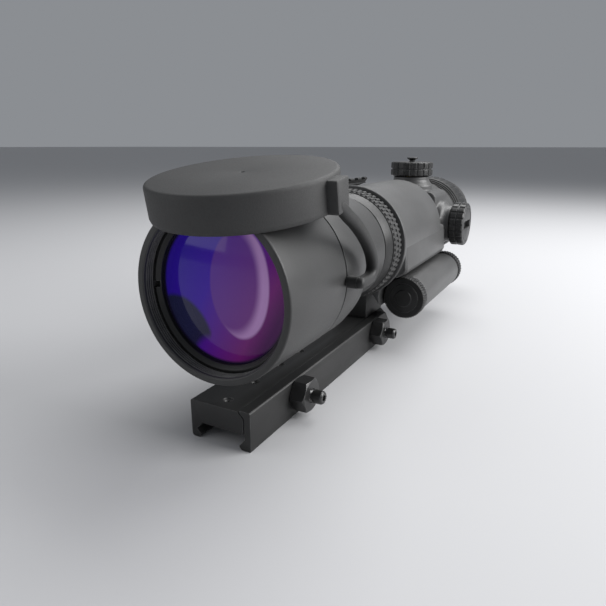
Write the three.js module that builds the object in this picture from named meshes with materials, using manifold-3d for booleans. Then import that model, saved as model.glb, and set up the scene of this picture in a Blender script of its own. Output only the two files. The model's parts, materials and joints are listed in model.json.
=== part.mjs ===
// Night-vision riflescope on a rail clamp mount. Millimetres, +Z up.
// Origin: middle of the mount's flat face that rests on the top of the rail.
// The objective looks along -Y and the eye is at +Y. The turret, the battery tube
// and the clamp nuts are on the +X side.
import * as THREE from "three";
import { mergeVertices } from "three/addons/utils/BufferGeometryUtils.js";
import Module from "manifold-3d";

const wasm = await Module();
wasm.setup();

// ---- driving dimensions ----
const GAP = 0.3; // clearance between neighbouring pieces
const AXIS_HEIGHT = 51.6; // optical axis above the rail's top
const RIM_STATION = -76.5; // Y of the objective's front rim; stations below are measured from it

const BELL_R = 32.8;
const BELL_BORE_R = 29.9;
const BELL_GROOVE_Y = 43.4; // seam groove, with the arms' pivots in it
const BELL_REAR_Y = 58;
const BARREL_R = 26.2;
const BARREL_BORE_R = 22.4;
const BARREL_END_Y = 104;
const SPIGOT_R = 24.2; // thinner end of the barrel, under the focus ring and in the body
const LENS_R = 29.6;

const FOCUS_RING_Y = 105.6;
const FOCUS_GRIP_Y = 112;
const FOCUS_END_Y = 121.6;
const FOCUS_GRIP_R = 28.5;
const FOCUS_PIN_Y = 112.5;
const FOCUS_TRAVEL = 3;

const BODY_Y = 123;
const BODY_R = 29.2;
const BODY_END_Y = 204;
const BODY_BORE_R = 18.8;
const TURRET_Y = 222.5;
const TURRET_BLOCK = { y0: 209.5, y1: 240, half: 21, corner: 6 };
const TURRET_NECK_R = 11.8;
const RETICLE_SPACE_R = 18.3;
const KNOB_R = 13.8;
const KNOB_LOW = 30.4; // distance from the optical axis to the knob's lower face
const KNOB_TOP = 39.4;

const BATTERY_X = 27.8;
const BATTERY_Z = -29.5;
const BATTERY_R = 10.9;
const BATTERY_BORE_R = 8.9;
const BATTERY_TUBE_Y = [138, 212.6];
const BATTERY_CAP_R = 11.5;

const EYE_NECK_R = 23.5;
const DIOPTER_R = 27.2;

const CAP_R = 35;
const CAP_DEPTH = 13.1;
const CAP_OPEN_DEG = 80.74; // the cap's turn between closed and open
const CAP_HINGE = { y: 24.4, z: 31 }; // pins between the arms and the open cap
const CAP_HINGE_DEPTH = 10; // from the cap's closed face to its pins
const ARM_X = [35.4, 40.2];
const ARM_HALF_WIDTH = 2.3;
const ARM_HOLE_END_X = 39;
const ARM_BEND = { y: 56.4, z: 4.2 }; // where the outer arm hinges on the loop behind it

const RAIL_HALF = 10.65; // half of the rail's width across its V edges, plus clearance
const RAIL_TOP_HALF = 7.9;
const MOUNT_Y = [-74, 73.9];
const MOUNT_TOP = 9;
const MOUNT_BOTTOM = -6.5;
const STUD_STATIONS = { front: -39, rear: 48.5 };
const STUD_Z = 3.2;
const STUD_R = 2.5;
const NUT_FLATS = 13;
const NUT_X = [14.35, 20.9];
const RISER_SCREW_Y = { front: 57.5, rear: 68.5 };

const ROUND = { large: 32, medium: 20, small: 12, tiny: 8 }; // facets in a turn

// ---- solids ----
const toRad = THREE.MathUtils.degToRad;

// A geometry as a manifold solid that faces outwards.
function solid(geometry) {
  const bare = new THREE.BufferGeometry();
  bare.setAttribute("position", geometry.getAttribute("position").clone());
  bare.setIndex(geometry.index);
  const merged = mergeVertices(bare, 1e-4);
  const triVerts = new Uint32Array(merged.index.array);
  const vertProperties = new Float32Array(merged.attributes.position.array);
  const build = () => new wasm.Manifold(new wasm.Mesh({ numProp: 3, vertProperties, triVerts }));
  const made = build();
  if (made.volume() > 0) return made;
  for (let i = 0; i < triVerts.length; i += 3) {
    [triVerts[i + 1], triVerts[i + 2]] = [triVerts[i + 2], triVerts[i + 1]];
  }
  return build();
}

const join = (first, ...more) => more.reduce((sum, piece) => sum.add(piece), first);
const cut = (first, ...tools) => tools.reduce((left, tool) => left.subtract(tool), first);

// The direction of each axis that a turned or extruded piece can run along:
// images of the local X, Y and Z.
const ALONG = {
  x: [new THREE.Vector3(0, 1, 0), new THREE.Vector3(0, 0, 1), new THREE.Vector3(1, 0, 0)],
  y: [new THREE.Vector3(1, 0, 0), new THREE.Vector3(0, 0, 1), new THREE.Vector3(0, -1, 0)],
  z: [new THREE.Vector3(1, 0, 0), new THREE.Vector3(0, 1, 0), new THREE.Vector3(0, 0, 1)],
};

// A closed profile of [radius, station] turned about an axis through a centre.
function turned(profile, { axis = "y", centre = [0, 0, 0], facets = ROUND.large } = {}) {
  const points = profile.map(([r, s]) => new THREE.Vector2(r, s));
  const [first] = points;
  if (first.x > 0) points.push(first.clone());
  const geometry = new THREE.LatheGeometry(points, facets);
  if (axis === "z") geometry.rotateX(Math.PI / 2);
  if (axis === "x") geometry.rotateZ(-Math.PI / 2);
  geometry.translate(...centre);
  return solid(geometry);
}

// A plain cylinder between two stations of its axis; centre gives the other two coordinates.
function rod(radius, from, to, options) {
  return turned([[0, from], [radius, from], [radius, to], [0, to]], options);
}

// An outline extruded between two places on an axis. The outline's coordinates are
// (Y, Z) along x, (X, Z) along y and (X, Y) along z.
function extruded(outline, axis, from, to) {
  const shape = outline instanceof THREE.Shape ? outline : polygon(outline);
  const geometry = new THREE.ExtrudeGeometry(shape, {
    depth: to - from,
    bevelEnabled: false,
    curveSegments: 8,
  });
  geometry.applyMatrix4(new THREE.Matrix4().makeBasis(...ALONG[axis]));
  const start = { x: [from, 0, 0], y: [0, to, 0], z: [0, 0, from] }[axis];
  geometry.translate(...start);
  return solid(geometry);
}

const polygon = (points) => new THREE.Shape(points.map(([u, v]) => new THREE.Vector2(u, v)));

function block([x0, x1], [y0, y1], [z0, z1]) {
  const geometry = new THREE.BoxGeometry(x1 - x0, y1 - y0, z1 - z0);
  geometry.translate((x0 + x1) / 2, (y0 + y1) / 2, (z0 + z1) / 2);
  return solid(geometry);
}

function roundedSquare(half, corner) {
  const shape = new THREE.Shape();
  const inner = half - corner;
  shape.moveTo(half, -inner);
  shape.lineTo(half, inner);
  shape.absarc(inner, inner, corner, 0, Math.PI / 2);
  shape.absarc(-inner, inner, corner, Math.PI / 2, Math.PI);
  shape.absarc(-inner, -inner, corner, Math.PI, 1.5 * Math.PI);
  shape.absarc(inner, -inner, corner, 1.5 * Math.PI, 2 * Math.PI);
  return shape;
}

// A toothed outline: teeth of the outer radius between notches of the inner one.
function toothed(outer, inner, teeth, toothShare = 0.5) {
  const points = [];
  const step = (2 * Math.PI) / teeth;
  for (let i = 0; i < teeth; i += 1) {
    const corners = [[0, outer], [toothShare, outer], [toothShare + 0.1, inner], [0.9, inner]];
    for (const [share, radius] of corners) {
      const angle = (i + share) * step;
      points.push([radius * Math.cos(angle), radius * Math.sin(angle)]);
    }
  }
  return points;
}

function hexagon(flats, turn = 0) {
  const radius = flats / Math.sqrt(3);
  return Array.from({ length: 6 }, (_, i) => {
    const angle = turn + (i * Math.PI) / 3;
    return [radius * Math.cos(angle), radius * Math.sin(angle)];
  });
}

const moved = (points, du, dv) => points.map(([u, v]) => [u + du, v + dv]);

// A lens between two edge stations, each face bulging by its own height along +Y.
function lens(radius, front, rear, frontBulge, rearBulge, steps = 3) {
  const bulge = (height, share) => height * (1 - share * share);
  const profile = [];
  for (let i = 0; i <= steps; i += 1) {
    profile.push([(radius * i) / steps, front + bulge(frontBulge, i / steps)]);
  }
  for (let i = steps; i >= 0; i -= 1) {
    profile.push([(radius * i) / steps, rear + bulge(rearBulge, i / steps)]);
  }
  return turned(profile);
}

// ---- the assembly ----
const scope = new THREE.Group();
const optics = new THREE.Group(); // stations from the rim, heights from the optical axis
optics.position.set(0, RIM_STATION, AXIS_HEIGHT);
scope.add(optics);
const cap = new THREE.Group(); // the cap's own frame: its closed face at 0, its depth along +Y
cap.rotation.x = -toRad(CAP_OPEN_DEG);
cap.position.set(
  0,
  CAP_HINGE.y - CAP_HINGE_DEPTH * Math.cos(toRad(CAP_OPEN_DEG)),
  CAP_HINGE.z + CAP_HINGE_DEPTH * Math.sin(toRad(CAP_OPEN_DEG)),
);
optics.add(cap);

const FINISH = {
  housing: [0x4a4d50, 0.5, 0.6],
  rubber: [0x26272a, 0.85, 0],
  blackMetal: [0x1b1c1e, 0.55, 0.5],
  mount: [0x35373a, 0.55, 0.6],
  steel: [0x6b6e72, 0.35, 0.9],
  brass: [0xa8863f, 0.4, 0.9],
  glass: [0x2a1a60, 0.05, 0],
  clearGlass: [0xc8d2d8, 0.05, 0],
  board: [0x1f5a32, 0.6, 0],
  cell: [0xb8bcc0, 0.35, 0.8],
};

function add(group, name, shape, finish) {
  const made = shape.getMesh();
  const geometry = new THREE.BufferGeometry();
  const positions = new Float32Array(made.numVert * 3);
  for (let i = 0; i < made.numVert; i += 1) {
    positions.set(made.vertProperties.subarray(i * made.numProp, i * made.numProp + 3), i * 3);
  }
  geometry.setAttribute("position", new THREE.BufferAttribute(positions, 3));
  geometry.setIndex(new THREE.BufferAttribute(made.triVerts, 1));
  const [color, roughness, metalness] = FINISH[finish];
  const flat = geometry.toNonIndexed();
  flat.computeVertexNormals();
  const material = new THREE.MeshStandardMaterial({ color, roughness, metalness });
  const mesh = new THREE.Mesh(flat, material);
  mesh.name = name;
  group.add(mesh);
}

// ---- objective ----
function objectiveHousing() {
  const shell = turned([
    [BELL_BORE_R + 0.5, 0],
    [BELL_R - 0.5, 0],
    [BELL_R, 0.5],
    [BELL_R, BELL_GROOVE_Y - 1],
    [BELL_R - 0.9, BELL_GROOVE_Y - 1],
    [BELL_R - 0.9, BELL_GROOVE_Y + 1],
    [BELL_R - 0.1, BELL_GROOVE_Y + 1],
    [BELL_R - 0.1, BELL_REAR_Y],
    [31.6, 66],
    [BARREL_R, 74],
    [BARREL_R, BARREL_END_Y],
    [SPIGOT_R, BARREL_END_Y],
    [SPIGOT_R, 127.5],
    [BARREL_BORE_R, 127.5],
    [BARREL_BORE_R, 72],
    [26.8, 62],
    [26.8, 24.4],
    [BELL_BORE_R, 24.4],
    [BELL_BORE_R, 0.5],
  ]);
  const pinSlot = block(
    [-1.5, 1.5],
    [FOCUS_PIN_Y - 1.6, FOCUS_PIN_Y + FOCUS_TRAVEL + 1.6],
    [-SPIGOT_R - 1, -BARREL_BORE_R + 1.5],
  );
  const pivotHoles = [-1, 1].map((side) => {
    const reach = [side * 28, side * 34].sort((a, b) => a - b);
    return rod(2.3, ...reach, { axis: "x", centre: [0, BELL_GROOVE_Y, 0], facets: ROUND.tiny });
  });
  return cut(shell, pinSlot, ...pivotHoles);
}

function retainingRing() {
  return turned([[27.3, 6.6], [28.7, 5.2], [29.6, 5.2], [29.6, 8.2], [27.3, 8.2]]);
}

add(optics, "objective_housing", objectiveHousing(), "housing");
add(optics, "front_retaining_ring", retainingRing(), "blackMetal");
add(optics, "objective_lens_front", lens(LENS_R, 9, 13, -3.5, -1), "glass");
add(optics, "lens_spacer", turned([[27.6, 13.3], [29.6, 13.3], [29.6, 16.3], [27.6, 16.3]]), "blackMetal");
add(optics, "objective_lens_rear", lens(LENS_R, 16.6, 24.1, -1.6, -2), "clearGlass");

// ---- focus ----
function focusCell() {
  const shell = turned([[18, 100], [22, 100], [22, 118], [16.5, 118], [16.5, 109.3], [18, 109.3]]);
  return cut(shell, rod(1.4, -23, -20.2, { axis: "z", centre: [0, FOCUS_PIN_Y, 0], facets: ROUND.tiny }));
}

function focusRing() {
  return turned([
    [24.5, FOCUS_RING_Y],
    [25.8, FOCUS_RING_Y],
    [27.4, FOCUS_GRIP_Y - GAP],
    [26, FOCUS_GRIP_Y - GAP],
    [26, FOCUS_END_Y],
    [24.5, FOCUS_END_Y],
    [24.5, 118.6],
    [25.2, 118.6],
    [25.2, 110],
    [24.5, 110],
  ]);
}

function focusGrip() {
  return turned([
    [26.3, FOCUS_GRIP_Y],
    [FOCUS_GRIP_R - 0.4, FOCUS_GRIP_Y],
    [FOCUS_GRIP_R, FOCUS_GRIP_Y + 0.5],
    [FOCUS_GRIP_R, FOCUS_END_Y - 0.5],
    [FOCUS_GRIP_R - 0.5, FOCUS_END_Y],
    [26.3, FOCUS_END_Y],
  ]);
}

const focusPin = rod(1.1, -24.9, -20.5, { axis: "z", centre: [0, FOCUS_PIN_Y, 0], facets: ROUND.tiny });
add(optics, "focus_cell", focusCell(), "blackMetal");
add(optics, "focus_lens", lens(17.7, 102, 109, 1.2, -1.2), "clearGlass");
add(optics, "focus_pin", focusPin, "steel");
add(optics, "focus_ring", focusRing(), "blackMetal");
add(optics, "focus_grip", focusGrip(), "rubber");

// ---- body ----
const RAIL_TILT = toRad(25); // the small rail sits this far to the left of the top
const RAIL_SCREWS = { front: 134, rear: 154 };
// A place on the body given by its distance from the axis and its offset along the skin.
const onTilt = (offset, distance) => [
  offset * Math.cos(RAIL_TILT) - distance * Math.sin(RAIL_TILT),
  offset * Math.sin(RAIL_TILT) + distance * Math.cos(RAIL_TILT),
];

// A rod square to the skin under the small rail.
function tiltedRod(radius, from, to, station) {
  const geometry = new THREE.CylinderGeometry(radius, radius, to - from, ROUND.tiny);
  geometry.translate(0, (from + to) / 2, 0);
  geometry.rotateX(Math.PI / 2);
  geometry.rotateY(-RAIL_TILT);
  geometry.translate(0, station, 0);
  return solid(geometry);
}

function mainBody() {
  const skin = turned([
    [0, BODY_Y],
    [BODY_R + 0.2, BODY_Y],
    [BODY_R + 0.6, BODY_Y + 0.4],
    [BODY_R + 0.6, BODY_Y + 3],
    [BODY_R, BODY_Y + 3.6],
    [BODY_R, BODY_END_Y - 9],
    [BODY_R - 1.5, BODY_END_Y - 5],
    [20.5, BODY_END_Y + 5],
    [20.5, BODY_END_Y + 8],
    [0, BODY_END_Y + 8],
  ]);
  // Flat side panel above the battery tube, and the web that the tube lies in.
  const panel = extruded(
    [[20, 0], [29.2, 0], [30.2, -13], [29, -15.2], [24.5, -18], [17, -35.5], [10.5, -26], [10.5, -10]],
    "y",
    BODY_Y + 3,
    203.5,
  );
  const saddle = extruded(
    roundedSquare(TURRET_BLOCK.half, TURRET_BLOCK.corner),
    "y",
    TURRET_BLOCK.y0,
    TURRET_BLOCK.y1,
  );
  const pads = [
    block([-12.5, 12.5], [196, 237], [14, 26]),
    block([14, 26], [196, 237], [-12.5, 12.5]),
  ];
  const neckProfile = [
    [0, 12],
    [TURRET_NECK_R + 3, 12],
    [TURRET_NECK_R + 3, 24.5],
    [TURRET_NECK_R, 27],
    [TURRET_NECK_R, 30],
    [0, 30],
  ];
  const necks = ["z", "x"].map((axis) =>
    turned(neckProfile, { axis, centre: [0, TURRET_Y, 0], facets: ROUND.medium }),
  );
  const bore = turned([
    [0, BODY_Y - 1],
    [24.5, BODY_Y - 1],
    [24.5, 128],
    [23.9, 128],
    [23.9, 134],
    [BODY_BORE_R, 134],
    [BODY_BORE_R, 202],
    [RETICLE_SPACE_R, 202],
    [RETICLE_SPACE_R, 241],
    [0, 241],
  ]);
  const boardPocket = block([-9, 9], [140, 190], [-27, -15]);
  const spindleHoles = ["z", "x"].map((axis) =>
    rod(4.3, 14, 31, { axis, centre: [0, TURRET_Y, 0], facets: ROUND.small }),
  );
  const onTube = { centre: [BATTERY_X, 0, BATTERY_Z], facets: ROUND.medium };
  const batterySeat = rod(BATTERY_R + GAP, 136, 206, onTube);
  const capRelief = rod(BATTERY_CAP_R + 0.8, 120, 138.5, onTube);
  const railScrews = Object.values(RAIL_SCREWS).map((station) => tiltedRod(1.5, 25.5, 31, station));
  const whole = join(skin, panel, saddle, ...pads, ...necks);
  return cut(whole, bore, boardPocket, ...spindleHoles, batterySeat, capRelief, ...railScrews);
}

add(optics, "main_body", mainBody(), "housing");
add(optics, "tube_retainer", turned([[15, 129], [23.6, 129], [23.6, 133.7], [15, 133.7]]), "blackMetal");
add(
  optics,
  "image_tube",
  turned([[0, 136], [13, 136], [13, 134.4], [18.4, 134.4], [18.4, 166], [0, 166]]),
  "blackMetal",
);
add(optics, "circuit_board", block([-8, 8], [143, 187], [-24.6, -23]), "board");
add(optics, "field_lens", lens(18.4, 188, 194, -1.5, 1.5), "clearGlass");

// ---- small rail on the upper left of the body ----
function accessoryRail() {
  const half = [[5.2, 27], [5.2, 30.4], [7.1, 31.5], [7.1, 32.2], [6.2, 33]];
  const outline = [...half, ...half.map(([u, v]) => [-u, v]).reverse()].map(([u, v]) => onTilt(u, v));
  const bar = extruded(outline, "y", 128, 160);
  const slots = [0, 1, 2].map((i) => {
    const middle = 134 + 10 * i;
    const corners = [[-9, 31.2], [9, 31.2], [9, 35], [-9, 35]].map(([u, v]) => onTilt(u, v));
    return extruded(corners, "y", middle - 2.6, middle + 2.6);
  });
  const screwSeats = Object.values(RAIL_SCREWS).map((station) => tiltedRod(1.5, 25, 34, station));
  const skin = rod(BODY_R + 0.9, 120, 170);
  return cut(bar, skin, ...slots, ...screwSeats);
}

function railScrew(station) {
  return join(tiltedRod(1.2, 25.8, 31.7, station), tiltedRod(2.3, 31.5, 32.6, station));
}

add(optics, "accessory_rail", accessoryRail(), "blackMetal");
for (const [place, station] of Object.entries(RAIL_SCREWS)) {
  add(optics, `rail_screw_${place}`, railScrew(station), "steel");
}

// ---- turrets: the same knob on the top (axis z) and on the right side (axis x) ----
function knob(axis) {
  const centre = [0, TURRET_Y, 0];
  const grip = extruded(
    moved(toothed(KNOB_R, KNOB_R - 0.6, 16, 0.7), ...(axis === "z" ? [0, TURRET_Y] : [TURRET_Y, 0])),
    axis,
    KNOB_LOW,
    KNOB_TOP,
  );
  const options = { axis, centre, facets: ROUND.medium };
  const ringGroove = turned(
    [
      [KNOB_R - 0.7, KNOB_LOW + 4],
      [KNOB_R + 1, KNOB_LOW + 4],
      [KNOB_R + 1, KNOB_LOW + 5],
      [KNOB_R - 0.7, KNOB_LOW + 5],
    ],
    options,
  );
  const socket = rod(4.3, KNOB_LOW - 1, KNOB_LOW + 3.3, { ...options, facets: ROUND.small });
  const screwHole = rod(2.1, KNOB_LOW, KNOB_TOP + 1, { ...options, facets: ROUND.tiny });
  return cut(grip, ringGroove, socket, screwHole);
}

function spindle(axis, tipRadius, tipFrom) {
  return turned(
    [[0, tipFrom], [tipRadius, tipFrom], [tipRadius, 15], [4, 15], [4, KNOB_LOW + 3], [0, KNOB_LOW + 3]],
    { axis, centre: [0, TURRET_Y, 0], facets: ROUND.small },
  );
}

// Slotted post on the top knob.
function slottedPost() {
  const post = turned(
    [
      [0, KNOB_LOW + 3.3],
      [1.8, KNOB_LOW + 3.3],
      [1.8, KNOB_TOP + 1.3],
      [3.6, KNOB_TOP + 2.3],
      [3.6, KNOB_TOP + 2.9],
      [0, KNOB_TOP + 2.9],
    ],
    { axis: "z", centre: [0, TURRET_Y, 0], facets: ROUND.small },
  );
  return cut(post, block([-4, 4], [TURRET_Y - 0.6, TURRET_Y + 0.6], [KNOB_TOP + 1.8, KNOB_TOP + 4]));
}

const COIN_SLOT = { halfLength: 8.5, halfHeight: 2.4, depth: 2.6 };
const coinSlot = block(
  [KNOB_TOP - COIN_SLOT.depth, KNOB_TOP + 1],
  [TURRET_Y - COIN_SLOT.halfLength, TURRET_Y + COIN_SLOT.halfLength],
  [-COIN_SLOT.halfHeight, COIN_SLOT.halfHeight],
);
const windageScrew = rod(1.8, KNOB_LOW + 3.3, KNOB_TOP - COIN_SLOT.depth, {
  axis: "x",
  centre: [0, TURRET_Y, 0],
  facets: ROUND.tiny,
});
add(optics, "elevation_knob", knob("z"), "blackMetal");
add(optics, "elevation_spindle", spindle("z", 2.4, 13.6), "brass");
add(optics, "elevation_screw", slottedPost(), "steel");
add(optics, "windage_knob", cut(knob("x"), coinSlot), "blackMetal");
add(optics, "windage_spindle", spindle("x", 1.8, 9.6), "brass");
add(optics, "windage_screw", windageScrew, "steel");

// ---- reticle, moved up and down in the body and sideways in its frame ----
function reticleFrame() {
  const frame = block([-12, 12], [215, 230], [-12, 12]);
  const window = block([-9.6, 9.6], [214, 231], [-9.5, 9.5]);
  const tipSlot = block([9, 13], [TURRET_Y - 2.3, TURRET_Y + 2.3], [-3.4, 3.4]);
  return cut(frame, window, tipSlot);
}

function reticleCarriage() {
  const carriage = block([-8, 8], [217, 228], [-9.2, 9.2]);
  return cut(carriage, rod(7, 216, 229, { facets: ROUND.medium }));
}

add(optics, "reticle_frame", reticleFrame(), "brass");
add(optics, "reticle_carriage", reticleCarriage(), "blackMetal");
add(optics, "reticle_glass", rod(6.7, 220, 223, { facets: ROUND.medium }), "clearGlass");

// ---- battery tube, beside the body ----
const onBattery = { centre: [BATTERY_X, 0, BATTERY_Z], facets: ROUND.medium };
const knurledDisc = (radius, teeth, from, to) =>
  extruded(moved(toothed(radius, radius - 0.5, teeth), BATTERY_X, BATTERY_Z), "y", from, to);

function batteryTube() {
  const [front, rear] = BATTERY_TUBE_Y;
  const tube = rod(BATTERY_R, front, rear, onBattery);
  const bore = rod(BATTERY_BORE_R, front - 1, 205.6, onBattery);
  const shaftHole = rod(3.5, 205, rear + 1, { ...onBattery, facets: ROUND.tiny });
  return cut(tube, bore, shaftHole);
}

function batteryCap() {
  const rim = knurledDisc(BATTERY_CAP_R, 20, 131, 137.6);
  const disc = turned([[0, 129.8], [7.4, 129.8], [8, 130.3], [8, 131.2], [0, 131.2]], onBattery);
  const plug = turned(
    [[0, 137.4], [8.5, 137.4], [8.5, 139], [7, 139], [7, 141], [8.5, 141], [8.5, 142.6], [0, 142.6]],
    onBattery,
  );
  const springSeat = rod(5.4, 140.4, 143, { ...onBattery, facets: ROUND.small });
  return cut(join(rim, disc, plug), springSeat);
}

function batterySpring() {
  class Coil extends THREE.Curve {
    getPoint(t) {
      const angle = t * 2 * Math.PI * 3.25;
      const climb = 141.5 + 4.6 * t;
      return new THREE.Vector3(
        BATTERY_X + 4.2 * Math.cos(angle),
        climb,
        BATTERY_Z + 4.2 * Math.sin(angle),
      );
    }
  }
  const wire = new THREE.Shape();
  wire.absarc(0, 0, 0.5, 0, 2 * Math.PI);
  return solid(
    new THREE.ExtrudeGeometry(wire, {
      steps: 40,
      extrudePath: new Coil(),
      curveSegments: 3,
      bevelEnabled: false,
    }),
  );
}

function powerKnob() {
  const grip = knurledDisc(11.4, 20, 213, 219);
  const face = turned([[0, 218.8], [9, 218.8], [8.2, 220], [0, 220]], onBattery);
  const shaft = rod(3, 206.4, 213.2, { ...onBattery, facets: ROUND.tiny });
  return join(grip, face, shaft);
}

const cellBody = turned(
  [[0, 147], [2.7, 147], [2.7, 148.2], [7.1, 148.2], [7.1, 197.6], [0, 197.6]],
  { ...onBattery, facets: ROUND.small },
);
add(optics, "battery_tube", batteryTube(), "housing");
add(optics, "battery_cap", batteryCap(), "blackMetal");
add(
  optics,
  "battery_cap_seal",
  turned([[7.3, 139.3], [8.6, 139.3], [8.6, 140.7], [7.3, 140.7]], onBattery),
  "rubber",
);
add(optics, "battery_spring", batterySpring(), "steel");
add(optics, "battery_cell", cellBody, "cell");
add(optics, "battery_contact", rod(8.6, 198.2, 205.2, onBattery), "blackMetal");
add(optics, "power_knob", powerKnob(), "blackMetal");

// ---- eyepiece ----
function eyepieceHousing() {
  const tube = turned([
    [16.5, 232],
    [18, 232],
    [18, 240.3],
    [EYE_NECK_R, 240.3],
    [EYE_NECK_R, 257],
    [21.5, 257],
    [21.5, 284],
    [17.5, 284],
    [17.5, 262],
    [16.5, 262],
  ]);
  const flats = extruded(hexagon(45.6, Math.PI / 6), "y", 231, 285);
  return tube.intersect(flats);
}

function diopterRing() {
  const steps = [[21.8, 257.4], [24.2, 257.4], [24.2, 259], [25.4, 260], [25.4, 261], [26.6, 262.4]];
  return turned([...steps, [DIOPTER_R, 265], [DIOPTER_R, 276], [26.4, 279], [21.8, 279]]);
}

function eyecup() {
  return turned([
    [21.8, 279.4],
    [26, 279.4],
    [25.6, 284],
    [23.8, 288],
    [24.2, 296],
    [23.4, 298],
    [22.2, 298],
    [21.8, 296.4],
    [21.6, 288],
    [21.8, 284.3],
  ]);
}

add(optics, "eyepiece_housing", eyepieceHousing(), "housing");
add(optics, "eye_lens", lens(17.2, 266, 275, -2, 2), "clearGlass");
add(optics, "diopter_ring", diopterRing(), "blackMetal");
add(optics, "eyecup", eyecup(), "rubber");

// ---- flip cap and its two arms ----
function lensCap() {
  const shell = turned([
    [0.8, 0],
    [CAP_R - 1.2, 0],
    [CAP_R, 1.2],
    [CAP_R, CAP_DEPTH - 1.6],
    [CAP_R - 0.6, CAP_DEPTH],
    [CAP_R - 1.6, CAP_DEPTH],
    [CAP_R - 1.6, 2.2],
    [0.8, 2.2],
  ]);
  const pinHoles = rod(1.6, -CAP_R - 1, CAP_R + 1, {
    axis: "x",
    centre: [0, CAP_HINGE_DEPTH, 0],
    facets: ROUND.tiny,
  });
  return cut(shell, pinHoles);
}

// A strip of the arm's width along a list of (Y, Z) points, with round ends.
function strip(points, [x0, x1], halfWidth) {
  const path = new THREE.SplineCurve(points.map(([y, z]) => new THREE.Vector2(y, z)));
  const count = 4 * (points.length - 1);
  const sides = [[], []];
  for (let i = 0; i <= count; i += 1) {
    const at = path.getPoint(i / count);
    const along = path.getTangent(i / count);
    sides[0].push([at.x - along.y * halfWidth, at.y + along.x * halfWidth]);
    sides[1].push([at.x + along.y * halfWidth, at.y - along.x * halfWidth]);
  }
  const band = extruded([...sides[0], ...sides[1].reverse()], "x", x0, x1);
  const ends = [points[0], points.at(-1)].map(([y, z]) =>
    rod(halfWidth, x0, x1, { axis: "x", centre: [0, y, z], facets: ROUND.small }),
  );
  return join(band, ...ends);
}

// The outer arm runs down from the cap to the bend, and the loop from there forward to the pivot.
const ARM_SWEEP = [
  [CAP_HINGE.y, CAP_HINGE.z],
  [31, 26.6],
  [45.5, 18],
  [53.6, 10.6],
  [ARM_BEND.y, ARM_BEND.z],
];
const ARM_RETURN = [[ARM_BEND.y, ARM_BEND.z], [54.6, 0.8], [50, -0.4], [BELL_GROOVE_Y, 0]];

const reachAcross = (side, a, b) => [side * a, side * b].sort((p, q) => p - q);

// A blind hole across an arm, open towards the axis.
const armHole = (side, radius, [y, z]) =>
  rod(radius, ...reachAcross(side, 30, ARM_HOLE_END_X), { axis: "x", centre: [0, y, z], facets: ROUND.tiny });

function strapArm(side) {
  const sweep = strip(ARM_SWEEP, reachAcross(side, ...ARM_X), ARM_HALF_WIDTH);
  const loopSpace = strip(ARM_RETURN, reachAcross(side, 30, 42), ARM_HALF_WIDTH + GAP);
  return cut(sweep, loopSpace, armHole(side, 1.6, [CAP_HINGE.y, CAP_HINGE.z]));
}

function strapLoop(side) {
  const band = strip(ARM_RETURN, reachAcross(side, ...ARM_X), ARM_HALF_WIDTH);
  const pivot = { axis: "x", centre: [0, BELL_GROOVE_Y, 0], facets: ROUND.small };
  const boss = rod(2.7, ...reachAcross(side, 33.3, ARM_X[1]), pivot);
  return cut(join(band, boss), armHole(side, 1.5, [BELL_GROOVE_Y, 0]));
}

// A plain pin that points at the axis from inside an arm.
const armPin = (side, radius, [y, z], tip) =>
  rod(radius, ...reachAcross(side, tip, ARM_HOLE_END_X - GAP), {
    axis: "x",
    centre: [0, y, z],
    facets: ROUND.small,
  });

add(cap, "lens_cap", lensCap(), "rubber");
for (const [hand, side] of [["right", 1], ["left", -1]]) {
  const foot = rod(2, ...reachAcross(side, 28.4, 33), {
    axis: "x",
    centre: [0, BELL_GROOVE_Y, 0],
    facets: ROUND.small,
  });
  const pivot = join(foot, armPin(side, 1.2, [BELL_GROOVE_Y, 0], 28.4));
  const pin = armPin(side, 1.3, [CAP_HINGE.y, CAP_HINGE.z], 33.8);
  add(optics, `strap_arm_${hand}`, strapArm(side), "rubber");
  add(optics, `strap_loop_${hand}`, strapLoop(side), "rubber");
  add(optics, `arm_pivot_${hand}`, pivot, "blackMetal");
  add(optics, `cap_pin_${hand}`, pin, "blackMetal");
}

// ---- clamp mount, in the rail's own frame ----
// Half of the rail's V as the jaws grip it, from the seat down to the jaw's lip.
const JAW = [
  [RAIL_TOP_HALF, 0],
  [RAIL_HALF, -2.75],
  [RAIL_HALF, -3],
  [8.9, -4.75],
  [8.9, -5.3],
  [9.9, MOUNT_BOTTOM],
];
const acrossStud = (station) => ({ axis: "x", centre: [0, station, STUD_Z], facets: ROUND.small });

function mountBase() {
  const left = JAW.map(([x, z]) => [-x, z]);
  const bar = extruded(
    [
      ...left,
      [-13.2, MOUNT_BOTTOM],
      [-13.2, 8.5],
      [-12.7, MOUNT_TOP],
      [8.4, MOUNT_TOP],
      [10.9, 6.5],
      [10.9, 0],
    ],
    "y",
    ...MOUNT_Y,
  );
  const studHoles = Object.values(STUD_STATIONS).flatMap((station) => [
    rod(STUD_R + GAP, -14, 12, acrossStud(station)),
    rod(4.2, -14, -10.4, acrossStud(station)),
  ]);
  const tappedHoles = [-67.8, -49.2, -29.1, -10.8].map((y) =>
    rod(1.5, 4.4, MOUNT_TOP + 1, { axis: "z", centre: [0, y, 0], facets: ROUND.tiny }),
  );
  const riserHoles = Object.values(RISER_SCREW_Y).flatMap((y) => [
    rod(3.6, -1, 4.4, { axis: "z", centre: [0, y, 0], facets: ROUND.small }),
    rod(2.3, 4, MOUNT_TOP + 1, { axis: "z", centre: [0, y, 0], facets: ROUND.tiny }),
  ]);
  return cut(bar, ...studHoles, ...tappedHoles, ...riserHoles);
}

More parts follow.
